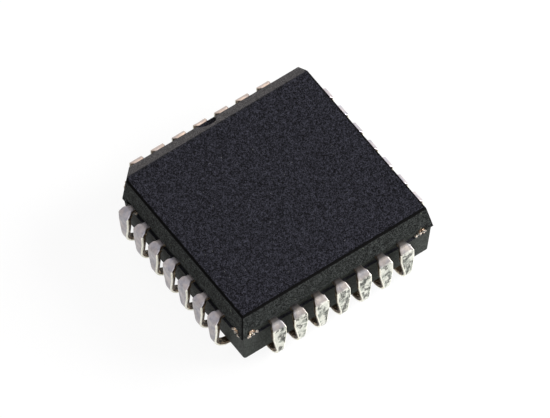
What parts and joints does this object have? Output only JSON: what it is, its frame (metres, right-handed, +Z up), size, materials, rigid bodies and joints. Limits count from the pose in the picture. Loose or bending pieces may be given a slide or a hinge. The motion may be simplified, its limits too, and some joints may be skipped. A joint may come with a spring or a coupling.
{
  "type": "plastic leaded chip carrier",
  "caption": "Square moulded chip package with J-formed leads on all sides, for surface mounting or a socket, with a bevelled index side and corner.",
  "frame": {"origin": "middle of the seating plane, where the lowest points of the leads meet the board", "axes": "+Z up, away from the board; +Y towards the bevelled index side with the notch; +X to the right of it, seen from above"},
  "size_m": [0.0124, 0.0124, 0.0042],
  "materials": {
    "moulding": "charcoal moulding compound with a fine matt grain",
    "lead_plating": "tin-plated copper, matt, worn and scratched",
    "frame_metal": "bare copper alloy strip",
    "adhesive": "silver-filled epoxy",
    "silicon": "polished silicon with a passivation layer",
    "gold_wire": "bright gold wire"
  },
  "bodies": {
    "root": {"body": "moulding", "die_pad": "frame_metal", "die_attach": "adhesive", "die": "silicon", "bond_wires": "gold_wire", "lead_01": "lead_plating", "lead_02": "lead_plating", "lead_03": "lead_plating", "lead_04": "lead_plating", "lead_05": "lead_plating", "lead_06": "lead_plating", "lead_07": "lead_plating", "lead_08": "lead_plating", "lead_09": "lead_plating", "lead_10": "lead_plating", "lead_11": "lead_plating", "lead_12": "lead_plating", "lead_13": "lead_plating", "lead_14": "lead_plating", "lead_15": "lead_plating", "lead_16": "lead_plating", "lead_17": "lead_plating", "lead_18": "lead_plating", "lead_19": "lead_plating", "lead_20": "lead_plating", "lead_21": "lead_plating", "lead_22": "lead_plating", "lead_23": "lead_plating", "lead_24": "lead_plating", "lead_25": "lead_plating", "lead_26": "lead_plating", "lead_27": "lead_plating", "lead_28": "lead_plating"}
  },
  "joints": []
}
